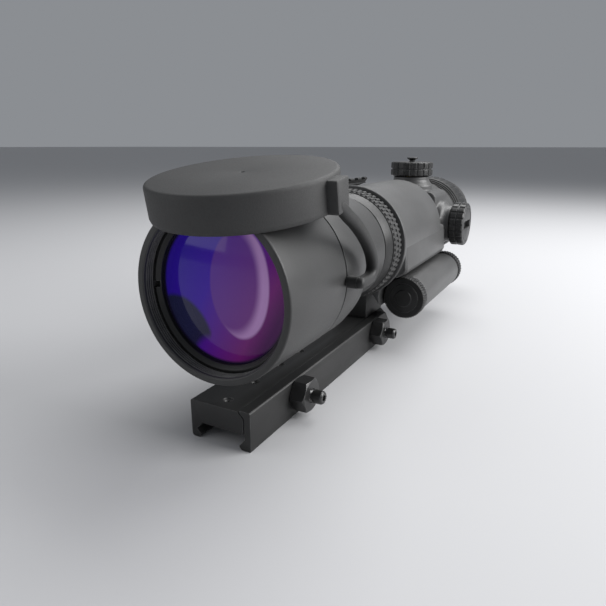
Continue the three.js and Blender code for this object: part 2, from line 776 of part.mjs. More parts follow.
function clampBar() {
  const [lead, ...jaw] = JAW;
  const bar = extruded(
    [
      ...jaw,
      [14.05, MOUNT_BOTTOM],
      [14.05, 9],
      [13.6, 9.5],
      [9.3, 9.5],
      [9.3, 8.6],
      [11.3, 6.6],
      [11.3, -2.1],
    ],
    "y",
    ...MOUNT_Y,
  );
  const rearCorner = extruded(
    [[MOUNT_Y[1] - 9, 10], [MOUNT_Y[1] + 1, 10], [MOUNT_Y[1] + 1, 0]],
    "x",
    lead[0],
    15,
  );
  const holes = Object.values(STUD_STATIONS).map((station) => rod(STUD_R + GAP, 8, 15, acrossStud(station)));
  return cut(bar, rearCorner, ...holes);
}

function stud(station) {
  const shaft = turned(
    [
      [0, -12.9],
      [3.9, -12.9],
      [3.9, -10.8],
      [STUD_R, -10.8],
      [STUD_R, 25.9],
      [STUD_R - 0.6, 26.5],
      [0, 26.5],
    ],
    acrossStud(station),
  );
  const socket = extruded(moved(hexagon(2.5), station, STUD_Z), "x", 24.5, 27);
  return cut(shaft, socket);
}

function nut(station) {
  const [x0, x1] = NUT_X;
  const hex = extruded(moved(hexagon(NUT_FLATS), station, STUD_Z), "x", x0, x1);
  const corner = NUT_FLATS / Math.sqrt(3);
  const chamfer = turned(
    [
      [0, x0],
      [corner - 0.7, x0],
      [corner + 0.1, x0 + 0.6],
      [corner + 0.1, x1 - 0.6],
      [corner - 0.7, x1],
      [0, x1],
    ],
    { ...acrossStud(station), facets: ROUND.medium },
  );
  return cut(hex.intersect(chamfer), rod(STUD_R + GAP, x0 - 1, x1 + 1, acrossStud(station)));
}

function riserBlock() {
  const foot = block([-10.5, 8.7], [49, 73.5], [MOUNT_TOP + GAP, 24]);
  const body = rod(BODY_R + 0.9, 40, 80, { centre: [0, 0, AXIS_HEIGHT] });
  const tapped = Object.values(RISER_SCREW_Y).map((y) =>
    rod(2.3, 8, 18, { axis: "z", centre: [0, y, 0], facets: ROUND.tiny }),
  );
  return cut(foot, body, ...tapped);
}

function riserScrew(y) {
  const screw = turned([[0, 0.5], [3.3, 0.5], [3.3, 4.1], [2, 4.1], [2, 17.4], [0, 17.4]], {
    axis: "z",
    centre: [0, y, 0],
    facets: ROUND.small,
  });
  return cut(screw, extruded(moved(hexagon(3), 0, y), "z", 0, 2.6));
}

add(scope, "mount_base", mountBase(), "mount");
add(scope, "clamp_bar", clampBar(), "mount");
add(scope, "riser_block", riserBlock(), "blackMetal");
for (const place of ["front", "rear"]) {
  add(scope, `clamp_stud_${place}`, stud(STUD_STATIONS[place]), "steel");
  add(scope, `clamp_nut_${place}`, nut(STUD_STATIONS[place]), "steel");
  add(scope, `riser_screw_${place}`, riserScrew(RISER_SCREW_Y[place]), "steel");
}

export default scope;
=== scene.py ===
import json
import math

import bmesh
import bpy
from mathutils import Matrix, Vector


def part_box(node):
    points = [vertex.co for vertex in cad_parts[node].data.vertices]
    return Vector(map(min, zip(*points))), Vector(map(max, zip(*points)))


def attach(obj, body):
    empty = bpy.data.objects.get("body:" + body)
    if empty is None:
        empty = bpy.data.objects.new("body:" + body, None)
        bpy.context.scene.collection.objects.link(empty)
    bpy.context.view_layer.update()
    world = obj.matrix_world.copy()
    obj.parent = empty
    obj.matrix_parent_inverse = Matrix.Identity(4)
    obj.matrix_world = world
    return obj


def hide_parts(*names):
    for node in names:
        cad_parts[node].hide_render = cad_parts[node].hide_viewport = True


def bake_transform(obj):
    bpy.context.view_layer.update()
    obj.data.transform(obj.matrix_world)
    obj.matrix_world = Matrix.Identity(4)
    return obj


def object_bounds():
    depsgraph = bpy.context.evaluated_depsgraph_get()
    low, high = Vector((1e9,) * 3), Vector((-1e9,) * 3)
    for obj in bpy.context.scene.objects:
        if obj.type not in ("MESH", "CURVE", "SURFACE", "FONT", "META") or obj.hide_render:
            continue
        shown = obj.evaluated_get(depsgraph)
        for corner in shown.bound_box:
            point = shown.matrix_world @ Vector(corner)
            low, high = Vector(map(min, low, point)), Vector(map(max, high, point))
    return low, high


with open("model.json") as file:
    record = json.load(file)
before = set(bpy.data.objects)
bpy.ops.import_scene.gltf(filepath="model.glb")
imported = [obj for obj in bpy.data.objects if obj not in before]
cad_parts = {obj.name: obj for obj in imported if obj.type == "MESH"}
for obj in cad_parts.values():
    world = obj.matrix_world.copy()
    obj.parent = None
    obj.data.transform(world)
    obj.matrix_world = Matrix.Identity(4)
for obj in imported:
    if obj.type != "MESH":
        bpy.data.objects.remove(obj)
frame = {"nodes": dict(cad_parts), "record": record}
cad_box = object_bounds()

MM = 0.001

# ---- places, taken from the CAD nodes ----
housing_low, housing_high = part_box("objective_housing")
RIM_Y = housing_low.y
AXIS_Z = (housing_low.z + housing_high.z) / 2
OPTICS = Matrix.Translation((0, RIM_Y, AXIS_Z)) @ Matrix.Scale(MM, 4)
RAIL = Matrix.Scale(MM, 4)


def optic_box(node):
    """A CAD node's lowest and highest corners in millimetres from the rim and the optical axis."""
    inverse = OPTICS.inverted()
    return [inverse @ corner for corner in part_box(node)]


def middle(node):
    low, high = optic_box(node)
    return (low + high) / 2


CAP_OPEN = math.radians(80.74)
CAP_R = 35.0
CAP_DEPTH = 13.1
HINGE = middle("cap_pin_right")
HINGE_DEPTH = 10.0
CAP = (
    OPTICS
    @ Matrix.Translation(
        (0, HINGE.y - HINGE_DEPTH * math.cos(CAP_OPEN), HINGE.z + HINGE_DEPTH * math.sin(CAP_OPEN))
    )
    @ Matrix.Rotation(-CAP_OPEN, 4, "X")
)
BATTERY = middle("battery_tube")
TURRET_Y = middle("elevation_knob").y
KNOB_LOW = optic_box("elevation_knob")[0].z
GROOVE_Y = middle("arm_pivot_right").y

# ---- shapes ----
AXES = {
    "x": lambda r, a, s: (s, r * math.cos(a), r * math.sin(a)),
    "y": lambda r, a, s: (r * math.cos(a), s, r * math.sin(a)),
    "z": lambda r, a, s: (r * math.cos(a), r * math.sin(a), s),
}


def rounded(points, radius, closed=True, steps=4):
    """An outline with round corners; a point's third number is that corner's own radius."""
    out = []
    count = len(points)
    for i, point in enumerate(points):
        here = Vector(point[:2])
        size = point[2] if len(point) > 2 else radius
        if size <= 0 or (not closed and i in (0, count - 1)):
            out.append(here)
            continue
        back = Vector(points[i - 1][:2]) - here
        on = Vector(points[(i + 1) % count][:2]) - here
        angle = back.angle(on)
        if math.pi - angle < math.radians(8):
            out.append(here)
            continue
        reach = min(size / math.tan(angle / 2), 0.48 * back.length, 0.48 * on.length)
        start = here + back.normalized() * reach
        end = here + on.normalized() * reach
        for k in range(steps + 1):
            t = k / steps
            out.append(start * (1 - t) ** 2 + here * 2 * t * (1 - t) + end * t**2)
    return out


def finished(bm):
    bmesh.ops.remove_doubles(bm, verts=bm.verts, dist=1e-4)
    bmesh.ops.recalc_face_normals(bm, faces=bm.faces)
    mesh = bpy.data.meshes.new("shape")
    bm.to_mesh(mesh)
    bm.free()
    return mesh


def turned(profile, axis="y", centre=(0, 0, 0), segments=128, radius=0.25, edge=None):
    """A profile of (radius, station) points turned about an axis; edge(angle) limits the radius."""
    closed = min(point[0] for point in profile) > 0
    outline = rounded(profile, radius, closed=closed)
    bm = bmesh.new()
    rings = []
    for r, s in outline:
        ring = []
        for k in range(1 if r < 1e-6 else segments):
            angle = 2 * math.pi * k / segments
            limit = min(r, edge(angle)) if edge else r
            ring.append(bm.verts.new(Vector(AXES[axis](limit, angle, s)) + Vector(centre)))
        rings.append(ring)
    pairs = list(zip(rings, rings[1:]))
    if closed:
        pairs.append((rings[-1], rings[0]))
    for one, two in pairs:
        for k in range(segments):
            n = (k + 1) % segments
            corners = [one[k % len(one)], one[n % len(one)], two[n % len(two)], two[k % len(two)]]
            unique = list(dict.fromkeys(corners))
            if len(unique) > 2:
                bm.faces.new(unique)
    return finished(bm)


def rod(radius, start, end, axis="y", centre=(0, 0, 0), segments=48, soft=0.0):
    return turned([(0, start), (radius, start), (radius, end), (0, end)], axis, centre, segments, soft)


def extruded(outline, axis, start, end, radius=0.0, bevel=0.0):
    """An outline between two places on an axis, given as (Y, Z) along x, (X, Z) along y, (X, Y) along z."""
    order = {"x": lambda u, v, s: (s, u, v), "y": lambda u, v, s: (u, s, v), "z": lambda u, v, s: (u, v, s)}
    bm = bmesh.new()
    points = rounded(outline, radius)
    first = [bm.verts.new(order[axis](u, v, start)) for u, v in points]
    last = [bm.verts.new(order[axis](u, v, end)) for u, v in points]
    bm.faces.new(first)
    bm.faces.new(last)
    for k in range(len(points)):
        n = (k + 1) % len(points)
        bm.faces.new([first[k], first[n], last[n], last[k]])
    mesh = finished(bm)
    return bevelled(mesh, bevel) if bevel else mesh


def block(x, y, z, bevel=0.0):
    outline = [(y[0], z[0]), (y[1], z[0]), (y[1], z[1]), (y[0], z[1])]
    return extruded(outline, "x", *x, bevel=bevel)


def placed(mesh):
    obj = bpy.data.objects.new("scratch", mesh)
    bpy.context.scene.collection.objects.link(obj)
    return obj


def applied(mesh, kinds, helpers=()):
    """The mesh after a list of (modifier type, settings), made in a scratch object."""
    obj = placed(mesh)
    for kind, settings in kinds:
        modifier = obj.modifiers.new(kind.lower(), kind)
        for key, value in settings.items():
            setattr(modifier, key, value)
    bpy.context.view_layer.update()
    result = bpy.data.meshes.new_from_object(obj.evaluated_get(bpy.context.evaluated_depsgraph_get()))
    for scratch in [obj, *helpers]:
        bpy.data.objects.remove(scratch)
    return result


def combine(mesh, operation, tools):
    helpers = [placed(tool) for tool in tools]
    kinds = [("BOOLEAN", {"operation": operation, "solver": "EXACT", "object": helper}) for helper in helpers]
    return applied(mesh, kinds, helpers)


def cut(mesh, *tools):
    return combine(mesh, "DIFFERENCE", tools)


def joined(mesh, *others):
    return combine(mesh, "UNION", others)


def common(mesh, *others):
    return combine(mesh, "INTERSECT", others)


def bevelled(mesh, width, angle=32, segments=2):
    settings = {"width": width, "segments": segments, "limit_method": "ANGLE", "angle_limit": math.radians(angle)}
    return applied(mesh, [("BEVEL", settings)])


def cast(mesh, voxel, smooth):
    """A mesh remade as one soft-edged casting or moulding."""
    kinds = [
        ("REMESH", {"mode": "VOXEL", "voxel_size": voxel}),
        ("SMOOTH", {"factor": 0.5, "iterations": smooth}),
    ]
    return applied(mesh, kinds)


def together(*meshes):
    """Several meshes kept as one without a boolean."""
    bm = bmesh.new()
    for mesh in meshes:
        bm.from_mesh(mesh)
    mesh = bpy.data.meshes.new("shape")
    bm.to_mesh(mesh)
    bm.free()
    return mesh


def hexagon(flats, centre=(0, 0), turn=0.0):
    radius = flats / math.sqrt(3)
    return [
        (
            centre[0] + radius * math.cos(turn + k * math.pi / 3),
            centre[1] + radius * math.sin(turn + k * math.pi / 3),
        )
        for k in range(6)
    ]


def teeth(count, outer, depth, share=0.5, slope=0.12):
    """The radius at an angle of an edge with flat teeth and sloping notches."""

    def edge(angle):
        place = (angle * count / (2 * math.pi)) % 1
        rise = min(1, max(0, (place - share) / slope), max(0, (1 - place) / slope))
        return outer - depth * rise

    return edge


# ---- finishes ----
def shader(name):
    material = bpy.data.materials.new(name)
    material.use_nodes = True
    return material, material.node_tree.nodes, material.node_tree.links


def noise(nodes, links, coords, scale, detail=4, rough=0.6):
    node = nodes.new("ShaderNodeTexNoise")
    node.inputs["Scale"].default_value = scale
    node.inputs["Detail"].default_value = detail
    node.inputs["Roughness"].default_value = rough
    links.new(coords, node.inputs["Vector"])
    return node.outputs["Fac"]


def ramp(nodes, links, fac, stops):
    node = nodes.new("ShaderNodeValToRGB")
    node.color_ramp.elements.remove(node.color_ramp.elements[0])
    for i, (place, colour) in enumerate(stops):
        element = node.color_ramp.elements[0] if i == 0 else node.color_ramp.elements.new(place)
        element.position = place
        element.color = (*colour, 1) if len(colour) == 3 else colour
    links.new(fac, node.inputs["Fac"])
    return node.outputs["Color"]


def grey(value):
    return (value, value, value)


def maths(nodes, links, operation, one, two):
    node = nodes.new("ShaderNodeMath")
    node.operation = operation
    node.use_clamp = True
    for socket, value in zip(node.inputs, (one, two)):
        if isinstance(value, (int, float)):
            socket.default_value = value
        else:
            links.new(value, socket)
    return node.outputs[0]


def worn(name, colour, wear, rough, metallic, grain=2600, bump=0.12, edge=0.35, streak=False):
    """A finish with fine grain, faint mottling and lighter worn edges."""
    material, nodes, links = shader(name)
    surface = nodes["Principled BSDF"]
    coords = nodes.new("ShaderNodeTexCoord").outputs["Object"]
    if streak:
        mapping = nodes.new("ShaderNodeMapping")
        mapping.inputs["Scale"].default_value = (1, 0.06, 1)
        links.new(coords, mapping.inputs["Vector"])
        fine_coords = mapping.outputs["Vector"]
    else:
        fine_coords = coords
    fine = noise(nodes, links, fine_coords, grain, 3)
    broad = noise(nodes, links, coords, 42, 5)
    dark = tuple(0.87 * c for c in colour)
    light = tuple(min(1, 1.14 * c) for c in colour)
    tone = ramp(nodes, links, broad, [(0.3, dark), (0.72, light)])

    bevel = nodes.new("ShaderNodeBevel")
    bevel.samples = 4
    bevel.inputs["Radius"].default_value = edge * MM
    geometry = nodes.new("ShaderNodeNewGeometry")
    dot = nodes.new("ShaderNodeVectorMath")
    dot.operation = "DOT_PRODUCT"
    links.new(bevel.outputs["Normal"], dot.inputs[0])
    links.new(geometry.outputs["Normal"], dot.inputs[1])
    edges = ramp(nodes, links, dot.outputs["Value"], [(0.82, grey(1)), (0.985, grey(0))])
    patches = ramp(nodes, links, noise(nodes, links, coords, 210, 4), [(0.38, grey(0.15)), (0.66, grey(1))])
    mask = maths(nodes, links, "MULTIPLY", edges, patches)
    mix = nodes.new("ShaderNodeMix")
    mix.data_type = "RGBA"
    links.new(mask, mix.inputs["Factor"])
    links.new(tone, mix.inputs["A"])
    mix.inputs["B"].default_value = (*wear, 1)
    links.new(mix.outputs["Result"], surface.inputs["Base Color"])

    low, high = max(0.05, rough - 0.07), min(1, rough + 0.07)
    links.new(ramp(nodes, links, fine, [(0.3, grey(low)), (0.7, grey(high))]), surface.inputs["Roughness"])
    surface.inputs["Metallic"].default_value = metallic
    relief = nodes.new("ShaderNodeBump")
    relief.inputs["Strength"].default_value = bump
    relief.inputs["Distance"].default_value = 0.12 * MM
    links.new(fine, relief.inputs["Height"])
    links.new(relief.outputs["Normal"], surface.inputs["Normal"])
    return material


def coated_glass():
    """Front lens: a blue to magenta coating tint painted as a fixed reflection, a pale arc of painted reflection from
    an inner lens surface, a dark patch, and a painted glow that emits the same colour.
    """
    material, nodes, links = shader("coated_front_glass")
    surface = nodes["Principled BSDF"]
    coords = nodes.new("ShaderNodeTexCoord").outputs["Object"]
    centre = OPTICS @ Vector((0, 8, 0))
    local = nodes.new("ShaderNodeVectorMath")
    local.operation = "SUBTRACT"
    links.new(coords, local.inputs[0])
    local.inputs[1].default_value = centre

    def along(direction, start, end):
        node = nodes.new("ShaderNodeVectorMath")
        node.operation = "DOT_PRODUCT"
        links.new(local.outputs[0], node.inputs[0])
        node.inputs[1].default_value = Vector(direction).normalized()
        span = nodes.new("ShaderNodeMapRange")
        span.inputs["From Min"].default_value = start * MM
        span.inputs["From Max"].default_value = end * MM
        links.new(node.outputs["Value"], span.inputs["Value"])
        return span.outputs["Result"]

    def disc(x, z, radius, soft, tall=1.0):
        """1 inside a circle or upright ellipse on the glass and 0 outside it."""
        node = nodes.new("ShaderNodeVectorMath")
        node.operation = "SUBTRACT"
        links.new(local.outputs[0], node.inputs[0])
        node.inputs[1].default_value = (x * MM, 0, z * MM)
        flat = nodes.new("ShaderNodeVectorMath")
        flat.operation = "MULTIPLY"
        links.new(node.outputs[0], flat.inputs[0])
        flat.inputs[1].default_value = (1, 0, 1 / tall)
        length = nodes.new("ShaderNodeVectorMath")
        length.operation = "LENGTH"
        links.new(flat.outputs[0], length.inputs[0])
        span = nodes.new("ShaderNodeMapRange")
        span.interpolation_type = "SMOOTHSTEP"
        span.inputs["From Min"].default_value = (radius + soft) * MM
        span.inputs["From Max"].default_value = (radius - soft) * MM
        links.new(length.outputs["Value"], span.inputs["Value"])
        return span.outputs["Result"]

    # painted reflection: the coating's reflected blue to magenta tint, laid across the glass as a fixed colour sweep
    coating_reflection_sweep = along((1, 0, -0.55), -25, 25)
    tone = ramp(
        nodes,
        links,
        coating_reflection_sweep,
        [
            (0.08, (0.012, 0.004, 0.14)),
            (0.4, (0.02, 0.004, 0.16)),
            (0.62, (0.045, 0.006, 0.12)),
            (0.85, (0.075, 0.007, 0.08)),
            (0.98, (0.03, 0.003, 0.04)),
        ],
    )

    def mixed(amount, below, colour):
        node = nodes.new("ShaderNodeMix")
        node.data_type = "RGBA"
        links.new(amount, node.inputs["Factor"])
        links.new(below, node.inputs["A"])
        node.inputs["B"].default_value = (*colour, 1)
        return node.outputs["Result"]

    inner = disc(8.4, 3.8, 11.7, 0.5, 1.67)
    toned = mixed(maths(nodes, links, "MULTIPLY", inner, 0.55), tone, (0.075, 0.028, 0.12))
    # painted reflection: a pale arc standing for light reflected from an inner lens surface
    painted_reflection_arc = maths(nodes, links, "SUBTRACT", disc(8.4, 3.8, 11.8, 0.5, 1.67), disc(5.2, 4.6, 11.4, 1.6, 1.67))
    lit = mixed(maths(nodes, links, "MULTIPLY", painted_reflection_arc, 0.75), toned, (0.25, 0.15, 0.3))
    patch = maths(nodes, links, "SUBTRACT", disc(-20, -19, 15.5, 1.2), disc(-2, -30, 13, 2))
    dimmed = mixed(maths(nodes, links, "MULTIPLY", patch, 0.9), lit, (0.006, 0.008, 0.012))
    outside = maths(nodes, links, "SUBTRACT", 1.0, disc(0, 0, 26.4, 0.8))
    final = mixed(outside, dimmed, (0.004, 0.003, 0.01))
    links.new(final, surface.inputs["Base Color"])
    # painted glow: the front glass emits its painted colour at strength 0.75, though it is no lamp
    links.new(final, surface.inputs["Emission Color"])
    surface.inputs["Emission Strength"].default_value = 0.75
    film = noise(nodes, links, coords, 90, 3)
    links.new(ramp(nodes, links, film, [(0.3, grey(0.05)), (0.7, grey(0.1))]), surface.inputs["Roughness"])
    surface.inputs["Coat Weight"].default_value = 0.2
    surface.inputs["Coat Roughness"].default_value = 0.04
    surface.inputs["Specular IOR Level"].default_value = 0.2
    return material


def plain_glass(name, colour, metallic=0.0):
    """Dark glass with a faint coating."""
    material, nodes, links = shader(name)
    surface = nodes["Principled BSDF"]
    coords = nodes.new("ShaderNodeTexCoord").outputs["Object"]
    film = noise(nodes, links, coords, 70, 3)
    light = tuple(min(1, 1.8 * c) for c in colour)
    links.new(ramp(nodes, links, film, [(0.3, colour), (0.7, light)]), surface.inputs["Base Color"])
    links.new(ramp(nodes, links, film, [(0.3, grey(0.04)), (0.7, grey(0.1))]), surface.inputs["Roughness"])
    surface.inputs["Metallic"].default_value = metallic
    surface.inputs["Coat Weight"].default_value = 1.0
    return material


LOOKS = {
    "bell_paint": worn("bell_paint_look", grey(0.045), grey(0.2), 0.46, 0.25, grain=3400, bump=0.1),
    "body_paint": worn("body_paint_look", grey(0.085), grey(0.28), 0.44, 0.3, grain=3000, bump=0.1),
    "black_anodised": worn("black_anodised_look", grey(0.018), grey(0.16), 0.42, 0.35, grain=2800, streak=True),
    "knob_anodised": worn("knob_anodised_look", grey(0.03), grey(0.24), 0.4, 0.4, grain=2600),
    "mount_anodised": worn("mount_anodised_look", grey(0.03), grey(0.2), 0.5, 0.35, grain=3600, bump=0.16),
    "dark_steel": worn("dark_steel_look", grey(0.07), grey(0.34), 0.34, 0.85, grain=2400),
    "nut_steel": worn("nut_steel_look", grey(0.06), grey(0.3), 0.38, 0.7, grain=2600),
    "bright_steel": worn("bright_steel_look", grey(0.5), grey(0.7), 0.25, 1.0),
    "brass": worn("brass_look", (0.5, 0.34, 0.12), (0.7, 0.5, 0.25), 0.32, 1.0),
    "tread_rubber": worn("tread_rubber_look", grey(0.03), grey(0.12), 0.62, 0.0, grain=4200, bump=0.18),
    "arm_rubber": worn("arm_rubber_look", grey(0.014), grey(0.05), 0.55, 0.0, grain=2600, bump=0.12),
    "cap_rubber": worn("cap_rubber_look", grey(0.035), grey(0.08), 0.66, 0.0, grain=1700, bump=0.4),
    "eyecup_rubber": worn("eyecup_rubber_look", grey(0.016), grey(0.05), 0.7, 0.0, grain=2200, bump=0.2),
    "matte_black_plastic": worn("matte_black_plastic_look", grey(0.02), grey(0.08), 0.65, 0.0),
    "board_green": worn("board_green_look", (0.02, 0.12, 0.04), (0.4, 0.3, 0.1), 0.5, 0.0),
    "cell_wrap": worn("cell_wrap_look", grey(0.4), grey(0.6), 0.35, 0.6),
    "coated_glass": coated_glass(),
    "clear_glass": plain_glass("clear_glass_look", (0.05, 0.06, 0.07)),
    "eye_glass": plain_glass("eye_glass_look", (0.01, 0.02, 0.018), 0.2),
}

for made in frame["record"]["materials"]:
    if made["slot"] not in LOOKS:
        raise ValueError(f"no look for the material slot {made['slot']}")


def node_slots():
    """Each CAD node's material slot, from the record."""
    return {part["node"]: part["material_slot"] for part in frame["record"]["subparts"]}


# ---- pieces ----
def dress(mesh, slot, sharp):
    mesh.materials.clear()
    mesh.materials.append(LOOKS[slot])
    mesh.shade_smooth()
    mesh.set_sharp_from_angle(angle=math.radians(sharp))


def piece(name, mesh, place, body, slot, *nodes, sharp=34):
    mesh.transform(place)
    mesh.name = name
    dress(mesh, slot, sharp)
    obj = bpy.data.objects.new(name, mesh)
    bpy.context.scene.collection.objects.link(obj)
    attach(obj, body)
    if nodes:
        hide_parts(*nodes)
    return obj


def objective():
    bell_r, bore_r = 32.8, 29.9
    thread = []
    for k in range(4):
        station = 4.9 - k
        thread += [(bore_r, station, 0), (bore_r - 0.3, station - 0.3, 0), (bore_r, station - 0.6, 0)]
    shell = [
        (bore_r + 0.5, 0, 0.2),
        (bell_r - 0.3, 0, 0.5),
        (bell_r, 0.6, 0.6),
        (bell_r, GROOVE_Y - 0.55, 0.2),
        (bell_r - 0.9, GROOVE_Y - 0.45, 0.1),
        (bell_r - 0.9, GROOVE_Y + 0.45, 0.1),
        (bell_r - 0.1, GROOVE_Y + 0.55, 0.2),
        (bell_r - 0.1, 58, 0.5),
        (31.6, 66, 0.7),
        (26.2, 74, 1.0),
        (26.2, 103.4, 0.3),
        (25.6, 104, 0.2),
        (24.2, 104, 0.1),
        (24.2, 127.5, 0.2),
        (22.4, 127.5, 0.2),
        (22.4, 72, 0.1),
        (26.8, 62, 0.1),
        (26.8, 24.4, 0.1),
        (bore_r, 24.4, 0.1),
        *thread,
        (bore_r, 0.5, 0.2),
    ]
    pin_slot = block((-1.5, 1.5), (110.9, 117.1), (-25.2, -20.9))
    housing = cut(turned(shell, segments=192), pin_slot)
    piece("bell_and_barrel", housing, OPTICS, "body", "bell_paint", "objective_housing")

    ring = turned(
        [(27.3, 6.6), (28.6, 5.2), (29.6, 5.2), (29.6, 8.2), (27.3, 8.2)], segments=160, radius=0.15
    )
    notches = [
        block((-1.1 + side * 28.6, 1.1 + side * 28.6), (4.5, 6.6), (-1.2, 1.2)) for side in (-1, 1)
    ]
    piece("glass_ring", cut(ring, *notches), OPTICS, "body", "black_anodised", "front_retaining_ring")


def lens(radius, front, rear, front_bulge, rear_bulge, steps=14):
    shares = [i / steps for i in range(steps + 1)]
    face = [(radius * t, front + front_bulge * (1 - t * t), 0) for t in shares]
    back = [(radius * t, rear + rear_bulge * (1 - t * t), 0) for t in reversed(shares)]
    return turned(face + back, segments=128)


def glass():
    piece("front_glass", lens(29.6, 9, 13, -3.5, -1), OPTICS, "body", "coated_glass", "objective_lens_front")
    piece("eye_glass", lens(17.2, 266, 275, -2, 2), OPTICS, "body", "eye_glass", "eye_lens")


def focus():
    cone = [
        (24.5, 105.6),
        (25.7, 105.6, 0.2),
        (27.4, 111.6, 0.2),
        (26.2, 111.8, 0.1),
        (26, 112),
        (26, 121.6, 0.1),
        (24.5, 121.6),
        (24.5, 118.6),
        (25.2, 118.6),
        (25.2, 110),
        (24.5, 110),
    ]
    piece("focus_collar", turned(cone, segments=160), OPTICS, "focus_ring_body", "black_anodised", "focus_ring")

    sleeve = turned(
        [(26.3, 112), (27.6, 112), (27.8, 112.3), (27.8, 121.3), (27.6, 121.6), (26.3, 121.6)],
        segments=160,
        radius=0.1,
    )
    count, foot, top = 66, 27.6, 28.5
    bm = bmesh.new()
    for row, station in enumerate((114.4, 119.2)):
        for k in range(count):
            angle = 2 * math.pi * (k + 0.5 * row) / count
            out = Vector((math.cos(angle), 0, math.sin(angle)))
            side = Vector((-math.sin(angle), 0, math.cos(angle)))
            corners = []
            for radius, half_width, half_length in ((foot, 0.86, 2.15), (top, 0.62, 1.9)):
                for u, v in ((-1, -1), (1, -1), (1, 1), (-1, 1)):
                    place = out * radius + side * u * half_width + Vector((0, station + v * half_length, 0))
                    corners.append(bm.verts.new(place))
            low, high = corners[:4], corners[4:]
            bm.faces.new(low)
            bm.faces.new(high)
            for i in range(4):
                bm.faces.new([low[i], low[(i + 1) % 4], high[(i + 1) % 4], high[i]])
    blocks = bevelled(finished(bm), 0.16)
    piece(
        "focus_tread", together(sleeve, blocks), OPTICS, "focus_ring_body", "tread_rubber", "focus_grip", sharp=50
    )


def body():
    skin = turned(
        [
            (0, 123.6, 0),
            (29.2, 123.6, 0),
            (29.2, 194, 3),
            (27.8, 199, 3),
            (20.8, 208.3, 2),
            (20.8, 239, 1),
            (0, 239, 0),
        ],
        segments=144,
    )
    web = [(29, 2, 2), (29.9, -13, 0.8), (28.8, -15, 0.5), (24.5, -18, 1), (17, -35.5, 1), (10, -26), (10, -8), (18, 2)]
    panel = extruded(web, "y", 126, 203.3)
    half = 21
    square = [(half, half, 6), (-half, half, 6), (-half, -half, 6), (half, -half, 6)]
    saddle = extruded(square, "y", 209.3, 239.8)
    pads = [
        block((-12.5, 8), (194, 237), (14, 25.9), bevel=1.5),
        block((14, 25.9), (194, 237), (-12.5, 5), bevel=1.5),
    ]
    neck = [
        (0, 10),
        (14.4, 10),
        (14.4, 24.4, 1.2),
        (12.8, 26.0, 1.2),
        (11.8, 27.6, 1),
        (11.8, 29.9, 0.3),
        (0, 29.9),
    ]
    necks = [turned(neck, axis, (0, TURRET_Y, 0), segments=96) for axis in "zx"]
    bore = turned(
        [
            (0, 122, 0),
            (24.6, 122, 0),
            (24.6, 128, 0),
            (23.9, 128, 0),
            (23.9, 134, 0),
            (18.8, 134, 0),
            (18.8, 202, 0),
            (18.3, 202, 0),
            (18.3, 241, 0),
            (0, 241, 0),
        ],
        segments=96,
    )
    seat = rod(11.1, 136, 206.5, centre=(BATTERY.x, 0, BATTERY.z))
    relief = rod(12.3, 120, 138.5, centre=(BATTERY.x, 0, BATTERY.z))
    pocket = block((-9, 9), (140, 190), (-27, -15))
    holes = [rod(4.4, 14, 32, axis, (0, TURRET_Y, 0)) for axis in "zx"]
    whole = joined(skin, panel, saddle, *pads, *necks)
    whole = cut(whole, bore, seat, relief, pocket, *holes)
    piece("body_casting", cast(whole, 0.42, 6), OPTICS, "body", "body_paint", "main_body", sharp=180)

    face = [(24, -1), (29.25, -1, 0.4), (30.3, -13, 0.7), (29.2, -15.3, 0.4), (25, -17.8, 0.5), (21, -17)]
    plate = extruded(face, "y", 127.5, 203.4, bevel=0.35)
    piece("body_side_panel", plate, OPTICS, "body", "body_paint")

    collar = [
        (24.8, 123, 0.1),
        (29.5, 123, 0.3),
        (29.8, 123.4, 0.3),
        (29.8, 125.9, 0.3),
        (29.25, 126.5, 0.2),
        (28.8, 127, 0.1),
        (24.8, 127, 0.1),
    ]
    piece("body_collar", turned(collar, segments=160), OPTICS, "body", "body_paint")


def tilt(outline, angle=math.radians(25)):
    """An outline drawn on the top of the body, leaned to the left round the axis."""
    return [
        (u * math.cos(angle) - v * math.sin(angle), u * math.sin(angle) + v * math.cos(angle), *rest)
        for u, v, *rest in outline
    ]


def small_rail():
    half = [(5.2, 28.6, 0), (5.2, 30.4, 0.2), (7.1, 31.5, 0.15), (7.1, 32.2, 0.15), (6.2, 33, 0.25)]
    outline = half + [(-p[0], *p[1:]) for p in reversed(half)]
    bar = extruded(tilt(outline), "y", 128, 160, bevel=0.2)
    slots = [
        extruded(tilt([(-9, 31.2, 0.5), (9, 31.2, 0.5), (9, 35), (-9, 35)]), "y", middle_y - 2.6, middle_y + 2.6)
        for middle_y in (134, 144, 154)
    ]
    bar = cut(bar, *slots, rod(30.05, 120, 170, segments=160))
    piece("top_rail", bevelled(bar, 0.12), OPTICS, "body", "black_anodised", "accessory_rail")
    lean = Matrix.Rotation(-math.radians(25), 4, "Y")
    for place, station in (("front", 134), ("rear", 154)):
        head = turned([(0, 31.4, 0), (2.2, 31.4, 0.1), (2.2, 32.3, 0.3), (0, 32.6, 0)], "z", segments=48)
        head = cut(head, extruded(hexagon(2.4), "z", 31.9, 33))
        shank = rod(1.15, 25.8, 31.6, "z")
        place_matrix = OPTICS @ Matrix.Translation((0, station, 0)) @ lean
        piece(f"rail_screw_head_{place}", together(head, shank), place_matrix, "body", "dark_steel", f"rail_screw_{place}")


